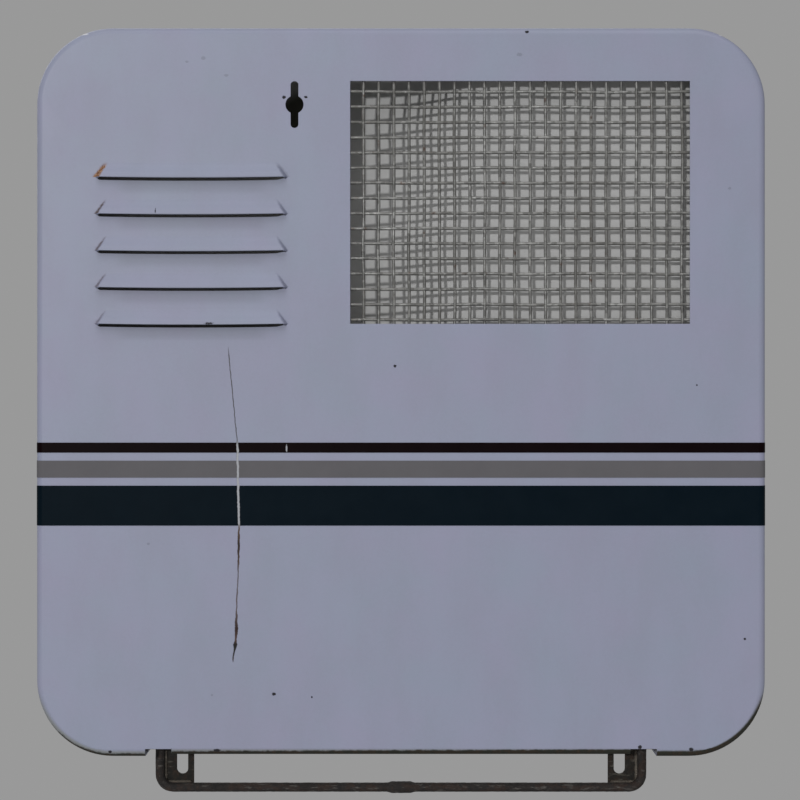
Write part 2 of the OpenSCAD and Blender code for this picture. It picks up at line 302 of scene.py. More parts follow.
def keyhole_opening(bm):
    """Cuts a round hole with a slot through it, then joins the many small faces round it."""
    half_w = 7 * MM
    half_h = 13 * MM
    slot_end = KEYHOLE_SLOT_HALF - KEYHOLE_SLOT_R

    def in_cell(middle):
        return (on_face(middle) and abs(middle.x - KEYHOLE_X) < half_w
                and abs(middle.z - KEYHOLE_Z) < half_h)

    for side in (-1, 1):
        cut_across(bm, "x", KEYHOLE_X + side * half_w, on_face)
        cut_across(bm, "z", KEYHOLE_Z + side * half_h, on_face)
    for side in (-1, 1):
        cut_across(bm, "x", KEYHOLE_X + side * KEYHOLE_SLOT_R, in_cell)
        cut_across(bm, "z", KEYHOLE_Z + side * 5 * MM, in_cell)
    round_cut(bm, KEYHOLE_X, KEYHOLE_Z, KEYHOLE_R, 24,
              lambda middle: in_cell(middle) and abs(middle.z - KEYHOLE_Z) < 5 * MM)
    for side in (-1, 1):
        end_z = KEYHOLE_Z + side * slot_end
        round_cut(bm, KEYHOLE_X, end_z, KEYHOLE_SLOT_R, 16,
                  lambda middle: in_cell(middle) and (middle.z - end_z) * side > -2 * MM
                  and abs(middle.x - KEYHOLE_X) < KEYHOLE_SLOT_R)
    drop_faces(bm, lambda middle: on_face(middle) and in_keyhole(middle))
    cell = faces_where(bm, in_cell)
    inner_edges = [edge for face in cell for edge in face.edges
                   if len(edge.link_faces) == 2 and all(other in cell for other in edge.link_faces)]
    inner_verts = list({vert for face in cell for vert in face.verts})
    bmesh.ops.dissolve_limit(bm, angle_limit=math.radians(1), use_dissolve_boundaries=False,
                             verts=inner_verts, edges=list(set(inner_edges)), delimit=set())


def pressed_panel(material, inside):
    """The pan: a drawn blank with its lower lip, louvres, window and keyhole, given its thickness."""
    bm = bmesh.new()
    pan_blank(bm)
    lower_lip(bm)
    window_opening(bm)
    louvre_lines(bm)
    keyhole_opening(bm)
    press_louvres(bm)
    bmesh.ops.remove_doubles(bm, verts=bm.verts[:], dist=TINY / 2)
    face_outwards(bm, Vector((0, -1, 0)), on_face)
    panel = new_piece("pressed_panel", bm, "door", material)
    wall = panel.modifiers.new("sheet", "SOLIDIFY")
    wall.thickness = SHEET_T
    wall.offset = -1
    wall.use_even_offset = True
    wall.material_offset = 1
    rims = panel.modifiers.new("rims", "BEVEL")
    rims.width = 0.14 * MM
    rims.segments = 2
    rims.limit_method = "ANGLE"
    rims.angle_limit = math.radians(55)
    rims.use_clamp_overlap = False
    rims.material = 0
    shading = panel.modifiers.new("shading", "WEIGHTED_NORMAL")
    shading.weight = 100
    panel.data.materials.append(inside)
    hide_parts("door_panel")
    return panel


# Wire cloth


def cloth_drift(x, z):
    """The cloth's small unevenness, in its own plane."""
    drift = noise.noise_vector(Vector((x * 45, 3.7, z * 45)))
    return drift.x * 0.35 * MM, drift.z * 0.35 * MM


def straight_wire(bm, start, end, rings, matrix):
    """A round wire from start to end along its own z, with rings to bend it at."""
    made = bmesh.ops.create_cone(bm, cap_ends=True, segments=8, radius1=WIRE_R, radius2=WIRE_R,
                                 depth=end - start, matrix=matrix @ place(0, 0, (start + end) / 2))
    verts = set(made["verts"])
    long_edges = [edge for edge in bm.edges if verts.issuperset(edge.verts)
                  and edge.calc_length() > WIRE_PITCH]
    bmesh.ops.subdivide_edges(bm, edges=long_edges, cuts=rings)


def woven_cloth(material):
    """Square cloth of round wires that pass in front of and behind each other."""
    bm = bmesh.new()
    for index in range(UPRIGHTS):
        bm_wire = bmesh.new()
        x = FIRST_UPRIGHT_X + index * WIRE_PITCH
        straight_wire(bm_wire, CLOTH_LOW, CLOTH_HIGH, 71, place(x, CLOTH_Y, 0))
        for vert in bm_wire.verts:
            phase = math.pi * (FIRST_LEVEL_Z - vert.co.z) / WIRE_PITCH + math.pi * index
            vert.co.y -= WEAVE_DEPTH * math.cos(phase)
        join_into(bm, bm_wire)
    for index in range(LEVELS):
        bm_wire = bmesh.new()
        z = FIRST_LEVEL_Z - index * WIRE_PITCH
        straight_wire(bm_wire, CLOTH_LEFT, CLOTH_RIGHT, 97, place(0, CLOTH_Y, z) @ turn(90, "Y"))
        for vert in bm_wire.verts:
            phase = math.pi * (vert.co.x - FIRST_UPRIGHT_X) / WIRE_PITCH + math.pi * index
            vert.co.y += WEAVE_DEPTH * math.cos(phase)
        join_into(bm, bm_wire)
    for vert in bm.verts:
        across, up = cloth_drift(vert.co.x, vert.co.z)
        vert.co.x += across
        vert.co.z += up
    zinc_at_crossings(bm)
    cloth = new_piece("woven_wire_cloth", bm, "door", material, 60)
    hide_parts("exhaust_screen")
    return cloth


def zinc_at_crossings(bm):
    """Small lumps of zinc that fill the corners where two wires cross."""
    for column in range(UPRIGHTS):
        for row in range(LEVELS):
            x = FIRST_UPRIGHT_X + column * WIRE_PITCH
            z = FIRST_LEVEL_Z - row * WIRE_PITCH
            across, up = cloth_drift(x, z)
            swell = 1 + 0.25 * noise.noise(Vector((x * 900, 0, z * 900)))
            shape = Matrix.Diagonal((swell, 0.7, swell, 1))
            bmesh.ops.create_icosphere(bm, subdivisions=1, radius=1.05 * MM,
                                       matrix=place(x + across, CLOTH_Y, z + up) @ shape)


def join_into(bm, other):
    """Adds another bmesh to this one."""
    mesh = bpy.data.meshes.new("joined")
    other.to_mesh(mesh)
    other.free()
    bm.from_mesh(mesh)
    bpy.data.meshes.remove(mesh)


# Hinge

ROD_R = 2 * MM
ROD_Y = -4 * MM
ROD_Z = -13.3 * MM
ROD_BEND = 4 * MM
LOWER_BEND = 5.5 * MM
PIVOT_Z = 6.3 * MM
LEG_OUT = 102.5 * MM
PIVOT_END = 113.5 * MM
SWELL_R = 2.55 * MM
SWELL_FLAT = 3.8 * MM
SWELL_END = 6.2 * MM
TAB_FRONT = -2 * MM
TAB_ROUND = 5 * MM


def draw_ring(bm, ring, move, steps):
    """Draws a ring of edges on by a distance in equal steps, and gives the last ring."""
    for _ in range(steps):
        drawn = bmesh.ops.extrude_edge_only(bm, edges=ring)["geom"]
        verts = [item for item in drawn if isinstance(item, bmesh.types.BMVert)]
        ring = [item for item in drawn if isinstance(item, bmesh.types.BMEdge)
                and all(vert in verts for vert in item.verts)]
        bmesh.ops.translate(bm, verts=verts, vec=Vector(move) / steps)
    return ring


def bend_ring(bm, ring, centre, degrees):
    """Turns a ring of edges about the Y direction in small steps, and gives the last ring."""
    turned = bmesh.ops.spin(bm, geom=ring, cent=centre, axis=(0, 1, 0),
                            angle=math.radians(degrees), steps=8)["geom_last"]
    return [item for item in turned if isinstance(item, bmesh.types.BMEdge)]


def swell_radius(across):
    """The rod's radius at a distance from its middle, where its two halves are butt welded."""
    slope = smooth_step((SWELL_END - across) / (SWELL_END - SWELL_FLAT))
    return ROD_R + (SWELL_R - ROD_R) * slope


def rusty_rod(material):
    """Half the rod is drawn from its swollen middle to its end, mirrored, and pitted."""
    bm = bmesh.new()
    circle = bmesh.ops.create_circle(bm, segments=20, radius=ROD_R,
                                     matrix=place(DOOR_X, ROD_Y, ROD_Z) @ turn(90, "Y"))
    ring = list({edge for vert in circle["verts"] for edge in vert.link_edges})
    leg_x = DOOR_X + LEG_OUT
    ring = draw_ring(bm, ring, (8 * MM, 0, 0), 16)
    ring = draw_ring(bm, ring, (LEG_OUT - LOWER_BEND - 8 * MM, 0, 0), 75)
    ring = bend_ring(bm, ring, (leg_x - LOWER_BEND, 0, ROD_Z + LOWER_BEND), -90)
    ring = draw_ring(bm, ring, (0, 0, PIVOT_Z - ROD_Z - LOWER_BEND - ROD_BEND), 12)
    ring = bend_ring(bm, ring, (leg_x + ROD_BEND, 0, PIVOT_Z - ROD_BEND), 90)
    ring = draw_ring(bm, ring, (PIVOT_END - LEG_OUT - ROD_BEND - 0.4 * MM, 0, 0), 6)
    ring = draw_ring(bm, ring, (0.4 * MM, 0, 0), 1)
    end_verts = list({vert for edge in ring for vert in edge.verts})
    bmesh.ops.scale(bm, verts=end_verts, vec=(1, 0.8, 0.8),
                    space=place(-DOOR_X - PIVOT_END, -ROD_Y, -PIVOT_Z))
    bmesh.ops.edgeloop_fill(bm, edges=ring)
    for vert in bm.verts:
        across = vert.co.x - DOOR_X
        if across < SWELL_END:
            grown = swell_radius(across) / ROD_R
            vert.co.y = ROD_Y + (vert.co.y - ROD_Y) * grown
            vert.co.z = ROD_Z + (vert.co.z - ROD_Z) * grown
    bmesh.ops.mirror(bm, geom=[*bm.verts, *bm.edges, *bm.faces], axis="X", merge_dist=TINY,
                     matrix=place(-DOOR_X, 0, 0))
    bmesh.ops.remove_doubles(bm, verts=bm.verts[:], dist=TINY)
    bmesh.ops.recalc_face_normals(bm, faces=bm.faces[:])
    bm.normal_update()
    for vert in bm.verts:
        pit = noise.fractal(vert.co * 650, 0.8, 2.0, 3)
        vert.co -= vert.normal * (0.05 + 0.09 * min(max(pit, -0.5), 1)) * MM
    rod = new_piece("rusty_rod", bm, "hinge", material, 60)
    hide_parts("hinge_bail")
    return rod


def round_outer_corner(bm, side):
    """Rounds a tab's outer lower corner, so that it stays hidden behind the rod's bend."""
    centre = Vector((DOOR_X + side * (LEG_OUT + ROD_R - TAB_ROUND), 0, ROD_Z + TAB_ROUND))
    for degrees in range(10, 90, 10):
        normal = turn(side * degrees, "Y") @ Vector((0, 0, -1))
        normal.x = side * abs(normal.x)
        bmesh.ops.bisect_plane(bm, geom=[*bm.verts, *bm.edges, *bm.faces], dist=TINY / 10,
                               plane_co=centre + normal * TAB_ROUND, plane_no=normal, clear_outer=True)
        bmesh.ops.holes_fill(bm, edges=[edge for edge in bm.edges if edge.is_boundary])


def softened_copy(node, name, body, material, width, segments):
    """A CAD part's shape with its flat faces joined and its edges rounded."""
    bm = bmesh.new()
    bm.from_mesh(NODES[node].data)
    bmesh.ops.remove_doubles(bm, verts=bm.verts[:], dist=TINY / 10)
    bmesh.ops.dissolve_limit(bm, angle_limit=math.radians(1), verts=bm.verts[:],
                             edges=bm.edges[:], delimit=set())
    if node.startswith("hinge_tab"):
        round_outer_corner(bm, 1 if node.endswith("right") else -1)
    piece = new_piece(name, bm, body, material)
    for layer in list(piece.data.attributes):
        if layer.name == "custom_normal":
            piece.data.attributes.remove(layer)
    rounds = piece.modifiers.new("rounds", "BEVEL")
    rounds.width = width
    rounds.segments = segments
    rounds.limit_method = "ANGLE"
    rounds.angle_limit = math.radians(40)
    shading = piece.modifiers.new("shading", "WEIGHTED_NORMAL")
    shading.weight = 100
    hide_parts(node)
    return piece


def weld_bead(bm, start, end, radius):
    """A row of overlapping lumps from one point to another."""
    start = Vector(start)
    run = Vector(end) - start
    count = round(run.length / (radius * 0.75))
    for step in range(count + 1):
        at = start + run * step / count
        wobble = noise.noise_vector(at * 900) * radius * 0.22
        size = radius * (1 + 0.22 * noise.noise(at * 700))
        made = bmesh.ops.create_icosphere(bm, subdivisions=2, radius=size,
                                          matrix=Matrix.Translation(at + wobble))
        for vert in made["verts"]:
            vert.co.y = min(vert.co.y, TAB_FRONT + 0.3 * MM)


def weld_beads(material):
    """Beads that join each tab to the leg and to the lower rod."""
    bm = bmesh.new()
    bead_y = TAB_FRONT - 0.35 * MM
    low = ROD_Z + ROD_R
    for side in (-1, 1):
        leg_x = DOOR_X + side * (LEG_OUT - ROD_R)
        weld_bead(bm, (leg_x, bead_y, low + 1 * MM), (leg_x, bead_y, 1.5 * MM), 0.95 * MM)
        weld_bead(bm, (leg_x - side * 1 * MM, bead_y, low), (leg_x - side * 10.5 * MM, bead_y, low),
                  0.75 * MM)
    return new_piece("weld_beads", bm, "hinge", material, 60)


# Spot welds

STRIP_BACK_Y = -20.9 * MM
STRIP_WELD_OUT = 10.9 * MM
FOOT_TOP = 4.6 * MM


def spot_weld(bm, matrix):
    """A shallow ringed dimple that faces along the matrix's own Z, with its closed base sunk in."""
    circle = bmesh.ops.create_circle(bm, cap_ends=True, segments=20, radius=2.3 * MM, matrix=matrix)
    cap = list({face for vert in circle["verts"] for face in vert.link_faces})
    rim = list(cap[0].edges)
    for thickness, depth in ((0.35, 0.1), (0.35, 0.02), (0.4, -0.09)):
        bmesh.ops.inset_region(bm, faces=cap, thickness=thickness * MM, depth=depth * MM)
    inwards = matrix.to_3x3() @ Vector((0, 0, -1))
    bmesh.ops.edgeloop_fill(bm, edges=draw_ring(bm, rim, inwards * 0.05 * MM, 1))


def spot_welds(material):
    """The dimples left where the clamp strips and the ears' feet are welded on."""
    bm = bmesh.new()
    back = turn(-90, "X")
    middle_x = (WINDOW_LEFT + WINDOW_RIGHT) / 2
    middle_z = (WINDOW_LOW + WINDOW_HIGH) / 2
    for step in range(-2, 3):
        for level in (WINDOW_LOW - STRIP_WELD_OUT, WINDOW_HIGH + STRIP_WELD_OUT):
            spot_weld(bm, place(middle_x + step * 37 * MM, STRIP_BACK_Y, level) @ back)
    for step in (-1.5, -0.5, 0.5, 1.5):
        for across in (WINDOW_LEFT - STRIP_WELD_OUT, WINDOW_RIGHT + STRIP_WELD_OUT):
            spot_weld(bm, place(across, STRIP_BACK_Y, middle_z + step * 28 * MM) @ back)
    for side in (-1, 1):
        spot_weld(bm, place(DOOR_X + side * 114.5 * MM, -12 * MM, FOOT_TOP))
    bmesh.ops.recalc_face_normals(bm, faces=bm.faces[:])
    return new_piece("spot_welds", bm, "door", material, 60)


# Node helpers


def add_node(tree, kind, inputs=None, **settings):
    """Adds a node, sets its options, and links or sets its inputs."""
    made = tree.nodes.new(kind)
    for name, value in settings.items():
        setattr(made, name, value)
    for name, value in (inputs or {}).items():
        if isinstance(value, bpy.types.NodeSocket):
            tree.links.new(value, made.inputs[name])
        else:
            made.inputs[name].default_value = value
    return made


def calc(tree, operation, *values, clamp=False):
    """One sum of a Math node."""
    inputs = dict(enumerate(values))
    return add_node(tree, "ShaderNodeMath", inputs, operation=operation, use_clamp=clamp).outputs[0]


def vector_calc(tree, operation, *values):
    made = add_node(tree, "ShaderNodeVectorMath", dict(enumerate(values)), operation=operation)
    return made.outputs["Value" if operation in ("LENGTH", "DISTANCE") else "Vector"]


def fade(tree, value, start, end):
    """1 at start, going smoothly to 0 at end, or from 0 to 1 where end is the smaller."""
    inputs = {"Value": value, "From Min": start, "From Max": end, "To Min": 1.0, "To Max": 0.0}
    if isinstance(start, float) and isinstance(end, float) and start > end:
        inputs.update({"From Min": end, "From Max": start, "To Min": 0.0, "To Max": 1.0})
    return add_node(tree, "ShaderNodeMapRange", inputs, interpolation_type="SMOOTHSTEP").outputs[0]


def mix_colour(tree, amount, below, above, blend="MIX"):
    inputs = {0: amount, 6: below, 7: above}
    made = add_node(tree, "ShaderNodeMix", inputs, data_type="RGBA", blend_type=blend)
    return made.outputs[2]


def noise_at(tree, position, scale, detail=2.0, rough=0.5):
    """Noise from 0 to 1; scale is in waves a millimetre."""
    inputs = {"Vector": position, "Scale": scale, "Detail": detail, "Roughness": rough}
    return add_node(tree, "ShaderNodeTexNoise", inputs).outputs["Fac"]


def ramp(tree, value, stops):
    """Colours along a value; each stop is a place from 0 to 1 and a colour."""
    made = add_node(tree, "ShaderNodeValToRGB", {"Fac": value})
    band = made.color_ramp
    while len(band.elements) < len(stops):
        band.elements.new(0.5)
    for element, (where, colour) in zip(band.elements, stops):
        element.position = where
        element.color = colour if len(colour) == 4 else (*colour, 1)
    return made


def millimetres(tree):
    """The place on the object, in millimetres."""
    place_node = add_node(tree, "ShaderNodeTexCoord")
    inputs = {"Vector": place_node.outputs["Object"], "Scale": (1000, 1000, 1000)}
    return add_node(tree, "ShaderNodeMapping", inputs).outputs["Vector"]


def axes_of(tree, position):
    return add_node(tree, "ShaderNodeSeparateXYZ", {"Vector": position}).outputs


def new_group(name, inputs, outputs):
    """A shader node group. inputs and outputs are names with float, vector or colour kinds."""
    kinds = {"float": "NodeSocketFloat", "vector": "NodeSocketVector", "colour": "NodeSocketColor"}
    group = bpy.data.node_groups.new(name, "ShaderNodeTree")
    for direction, sockets in (("INPUT", inputs), ("OUTPUT", outputs)):
        for socket_name, kind in sockets.items():
            group.interface.new_socket(name=socket_name, in_out=direction, socket_type=kinds[kind])
    entry = group.nodes.new("NodeGroupInput")
    exit_node = group.nodes.new("NodeGroupOutput")
    return group, entry.outputs, exit_node.inputs


def use_group(tree, group, **inputs):
    """Places a group in a material; an input's name has _ for a space."""
    made = tree.nodes.new("ShaderNodeGroup")
    made.node_tree = group
    for name, value in inputs.items():
        socket = made.inputs[name.replace("_", " ")]
        if isinstance(value, bpy.types.NodeSocket):
            tree.links.new(value, socket)
        else:
            socket.default_value = value
    return made.outputs


# Shared effects


def make_chip_group():
    """A ragged oval spot at a place on the face, of a half width and half height in millimetres."""
    group, given, out = new_group("paint chip", {"Position": "vector", "Place": "vector",
                                                 "Half Size": "vector", "Ragged": "float"},
                                  {"Mask": "float"})
    offset = vector_calc(group, "SUBTRACT", given["Position"], given["Place"])
    reach = vector_calc(group, "LENGTH", vector_calc(group, "DIVIDE", offset, given["Half Size"]))
    worn = calc(group, "ADD", reach, given["Ragged"])
    group.links.new(fade(group, worn, 0.75, 1.15), out["Mask"])
    return group


def make_scratch_group():
    """The long scratch down the face and through the stripes: where it is, and its colour."""
    group, given, out = new_group("long scratch", {"Position": "vector"},
                                  {"Mask": "float", "Colour": "colour"})
    along = axes_of(group, given["Position"])
    top = 172.8
    drop = calc(group, "DIVIDE", calc(group, "SUBTRACT", top, along["Z"]), 130.0)
    path = ramp(group, drop, [(0, (0,) * 3), (0.3, (0.76,) * 3), (0.57, (0.9,) * 3),
                              (0.69, (0.86,) * 3), (0.84, (0.69,) * 3), (0.93, (0.66,) * 3),
                              (1, (0.4,) * 3)])
    centre = calc(group, "MULTIPLY_ADD", path.outputs["Color"], 5.0, 21.0)
    wander = calc(group, "MULTIPLY_ADD", noise_at(group, given["Position"], 0.35, 4.0), 0.9, -0.45)
    aside = calc(group, "ABSOLUTE", calc(group, "SUBTRACT", calc(group, "ADD", centre, wander),
                                         along["X"]))
    thin_grey = (0.12, 0.12, 0.13, 0.19)
    bare_light = (0.44, 0.45, 0.48, 0.46)
    rust_brown = (0.13, 0.085, 0.06, 0.32)
    rust_dark = (0.03, 0.014, 0.011, 0.75)
    tint = ramp(group, drop, [(0, (0.2, 0.2, 0.23, 0.1)), (0.02, thin_grey), (0.29, thin_grey),
                              (0.31, bare_light), (0.56, bare_light), (0.575, rust_brown),
                              (0.63, (0.03, 0.02, 0.015, 0.5)), (0.68, (0.08, 0.05, 0.035, 0.4)),
                              (0.72, (0.16, 0.15, 0.17, 0.25)), (0.84, (0.13, 0.1, 0.1, 0.25)),
                              (0.9, rust_dark), (0.935, (0.1, 0.06, 0.05, 0.35)),
                              (0.95, (0.012, 0.01, 0.01, 0.85)), (0.97, (0.02, 0.02, 0.02, 0.35)),
                              (1, (0.1, 0.09, 0.1, 0.3))])
    uneven = calc(group, "MULTIPLY_ADD", noise_at(group, given["Position"], 1.1, 2.0), 0.9, 0.55)
    half = calc(group, "MULTIPLY", tint.outputs["Alpha"], uneven)
    cut = fade(group, calc(group, "DIVIDE", aside, half), 0.7, 1.2)
    on_length = calc(group, "MULTIPLY", fade(group, drop, 1.0, 1.01), fade(group, drop, 0.0, -0.01))
    front = calc(group, "LESS_THAN", along["Y"], -22.0)
    mask = calc(group, "MULTIPLY", calc(group, "MULTIPLY", cut, on_length), front)
    group.links.new(mask, out["Mask"])
    group.links.new(tint.outputs["Color"], out["Colour"])
    return group


def make_rust_group():
    """Patchy rust: where it is, its colour, and how far it stands up."""
    group, given, out = new_group("rust bloom", {"Position": "vector", "Amount": "float",
                                                 "Grain": "float"},
                                  {"Mask": "float", "Colour": "colour", "Height": "float"})
    patches = noise_at(group, given["Position"], given["Grain"], 5.0, 0.65)
    level = calc(group, "SUBTRACT", 1.0, given["Amount"])
    spread = calc(group, "SUBTRACT", patches, level)
    group.links.new(fade(group, spread, 0.06, -0.04), out["Mask"])
    tone = noise_at(group, given["Position"], 1.3, 4.0, 0.6)
    colour = ramp(group, tone, [(0.25, (0.022, 0.011, 0.007)), (0.5, (0.08, 0.032, 0.014)),
                                (0.75, (0.2, 0.085, 0.03))])
    group.links.new(colour.outputs["Color"], out["Colour"])
    group.links.new(calc(group, "MULTIPLY", patches, tone), out["Height"])
    return group


def make_grime_group():
    """Soft dirt that gathers in blotches and runs down: a mask from 0 to 1."""
    group, given, out = new_group("soft grime", {"Position": "vector", "Amount": "float"},
                                  {"Mask": "float"})
    stretched = add_node(group, "ShaderNodeMapping", {"Vector": given["Position"],
                                                      "Scale": (0.05, 0.05, 0.02)}).outputs["Vector"]
    blotch = noise_at(group, stretched, 1.0, 5.0, 0.6)
    speckle = noise_at(group, given["Position"], 0.9, 3.0, 0.7)
    both = calc(group, "MULTIPLY_ADD", speckle, 0.35, calc(group, "MULTIPLY", blotch, 0.75))
    shown = fade(group, both, 0.75, 0.4)
    group.links.new(calc(group, "MULTIPLY", shown, given["Amount"]), out["Mask"])
    return group


def make_skin_group():
    """The fine waves of sprayed paint or film over pressed steel, as a height in millimetres."""
    group, given, out = new_group("sprayed skin", {"Position": "vector", "Peel": "float",
                                                   "Wave": "float"}, {"Height": "float"})
    peel = noise_at(group, given["Position"], 0.9, 2.0)
    wave = noise_at(group, given["Position"], 0.03, 1.0)
    fine = calc(group, "MULTIPLY", peel, given["Peel"])
    group.links.new(calc(group, "MULTIPLY_ADD", wave, given["Wave"], fine), out["Height"])
    return group


# Materials


def new_material(name):
    """A material, its tree, its shader and the place on the object in millimetres."""
    material = bpy.data.materials.new(name)
    material.use_nodes = True
    tree = material.node_tree
    return material, tree, tree.nodes["Principled BSDF"], millimetres(tree)


def bump(tree, shader, height, depth_mm, strength=1.0):
    """Height, from 0 to 1, as relief of a depth in millimetres."""
    inputs = {"Height": height, "Distance": depth_mm * MM, "Strength": strength}
    made = add_node(tree, "ShaderNodeBump", inputs)
    tree.links.new(made.outputs["Normal"], shader.inputs["Normal"])


def largest(tree, masks):
    """The strongest of several masks at each point."""
    total = masks[0]
    for mask in masks[1:]:
        total = calc(tree, "MAXIMUM", total, mask)
    return total


def chips(tree, effects, position, spots):
    """One mask for several chips and painted spots. A spot is x, z, half width and half height in
    millimetres.
    """
    ragged = calc(tree, "MULTIPLY_ADD", noise_at(tree, position, 2.2, 3.0), 1.1, -0.55)
    made = [use_group(tree, effects["chip"], Position=position, Place=(x, -22.5, z),
                      Half_Size=(half_w, 4, half_h), Ragged=ragged)["Mask"]
            for x, z, half_w, half_h in spots]
    return largest(tree, made)


# Dark chips and scuffs; the spot at (13.2, 183.4) is painted shade where the lowest louvre's lip is dented.
DARK_CHIPS_AND_DENT_SHADE = (
    (90.7, 165.7, 0.6, 0.55), (40.1, 28.6, 0.8, 0.65), (56, 27.3, 0.35, 0.4),
    (237, 51.6, 0.5, 0.5), (145.9, 305.4, 0.8, 0.6), (216.9, 157.7, 0.3, 0.35),
    (44.3, 278, 0.75, 0.7), (53.5, 278.1, 0.7, 0.5), (-9.2, 230.3, 0.26, 1.5),
    (13.2, 183.4, 2.6, 0.7), (-28.4, 4.4, 0.7, 0.6), (16.3, 5, 1.6, 0.6),
    (193.1, 6.4, 0.9, 0.9), (214.6, 5.4, 1, 0.8),
)
FAINT_CHIPS = (
    (10.6, 294.4, 1, 0.8), (20.1, 287.2, 1, 0.6), (3.7, 292.9, 0.8, 0.5), (142.8, 295.9, 1.2, 0.8),
    (230.6, 240, 0.7, 0.6), (-12.4, 91.4, 0.6, 0.6), (14.2, 28.2, 0.5, 0.5),
)
# The first two bright spots are painted glints where the top corners' bends catch the light; the third is a
# bare chip through the stripes.
BRIGHT_CHIPS_AND_GLINTS = ((-39.1, 304.6, 1.6, 0.5), (228.8, 304.2, 2.6, 0.5), (45.4, 131.2, 0.35, 1.6))


ENAMEL_COOL = (0.315, 0.348, 0.457)
ENAMEL_WARM = (0.333, 0.338, 0.463)


def louvre_crease(tree, position, side):
    """Marks along the slanted crease at the hoods' left or right ends, widest on the top hood: rust on the
    left ends, painted shade on the right.
    """
    along = axes_of(tree, position)
    turns = calc(tree, "DIVIDE", calc(tree, "SUBTRACT", TOP_LIP_Z / MM, along["Z"]), LOUVRE_PITCH / MM)
    rise = calc(tree, "MULTIPLY", calc(tree, "SUBTRACT", 1.0, calc(tree, "FRACT", turns)),
                LOUVRE_PITCH / MM)
    slope = side * (LOUVRE_HALF - 0.6 * MM) / MM
    crease_x = calc(tree, "MULTIPLY_ADD", rise, -side * HOOD_TAPER / HOOD_H, LOUVRE_X / MM + slope)
    aside = calc(tree, "ABSOLUTE", calc(tree, "SUBTRACT", along["X"], crease_x))
    ragged = calc(tree, "MULTIPLY_ADD", noise_at(tree, position, 0.8, 3.0), 1.6, -0.7)
    narrower = calc(tree, "MULTIPLY", fade(tree, turns, 0.3, 0.0), 0.55)
    narrower = calc(tree, "ADD", narrower, calc(tree, "MULTIPLY", rise, 0.12))
    spread = calc(tree, "ADD", calc(tree, "ADD", aside, ragged), narrower)
    close = fade(tree, spread, 1.0, 2.1)
    low = fade(tree, rise, 3.8, 6.6)
    in_rows = calc(tree, "MULTIPLY", fade(tree, turns, 4.2, 4.25), fade(tree, turns, -0.5, -0.55))
    front = calc(tree, "LESS_THAN", along["Y"], -21.9)
    mask = calc(tree, "MULTIPLY", calc(tree, "MULTIPLY", close, low), in_rows)
    return calc(tree, "MULTIPLY", mask, front), turns


def painted_shadow_below_slits(tree, position):
    """A soft band of painted shadow on the face below each louvre's slit, where the hood shades it."""
    along = axes_of(tree, position)
    turns = calc(tree, "DIVIDE", calc(tree, "SUBTRACT", TOP_LIP_Z / MM, along["Z"]), LOUVRE_PITCH / MM)
    below = calc(tree, "MULTIPLY", calc(tree, "FRACT", turns), LOUVRE_PITCH / MM)
    aside = calc(tree, "ABSOLUTE", calc(tree, "SUBTRACT", along["X"], LOUVRE_X / MM))
    mask = calc(tree, "MULTIPLY", fade(tree, below, 4.5, 8.0), fade(tree, aside, 26.0, 34.0))
    in_rows = calc(tree, "MULTIPLY", fade(tree, turns, 4.4, 4.5), fade(tree, turns, 0.0, -0.02))
    return calc(tree, "MULTIPLY", mask, in_rows)


def facing_of(tree):
    """The way that the surface faces on the object itself, as three numbers."""
    return axes_of(tree, add_node(tree, "ShaderNodeTexCoord").outputs["Normal"])


def underside_dirt_and_shade(tree, position):
    """Dirt and rust where water hangs on the lower edge, with painted shade on its downward-facing bend: more
    to the right, with a ragged upper limit.
    """
    along = axes_of(tree, position)
    down = facing_of(tree)["Z"]
    to_right = calc(tree, "MULTIPLY_ADD", along["X"], -0.0018, 0.08)
    ragged = calc(tree, "MULTIPLY_ADD", noise_at(tree, position, 0.35, 5.0, 0.7), 0.6, -0.3)
    limit = calc(tree, "ADD", calc(tree, "ADD", down, to_right), ragged)
    mask = calc(tree, "MULTIPLY", fade(tree, limit, -0.56, -0.24), fade(tree, down, -0.3, -0.08))
    thinner = calc(tree, "MULTIPLY_ADD", fade(tree, along["Y"], -18.0, -6.0), 0.6, 0.4)
    mask = calc(tree, "MULTIPLY", mask, thinner)
    return calc(tree, "MULTIPLY", mask, fade(tree, along["Z"], 30.0, 40.0))


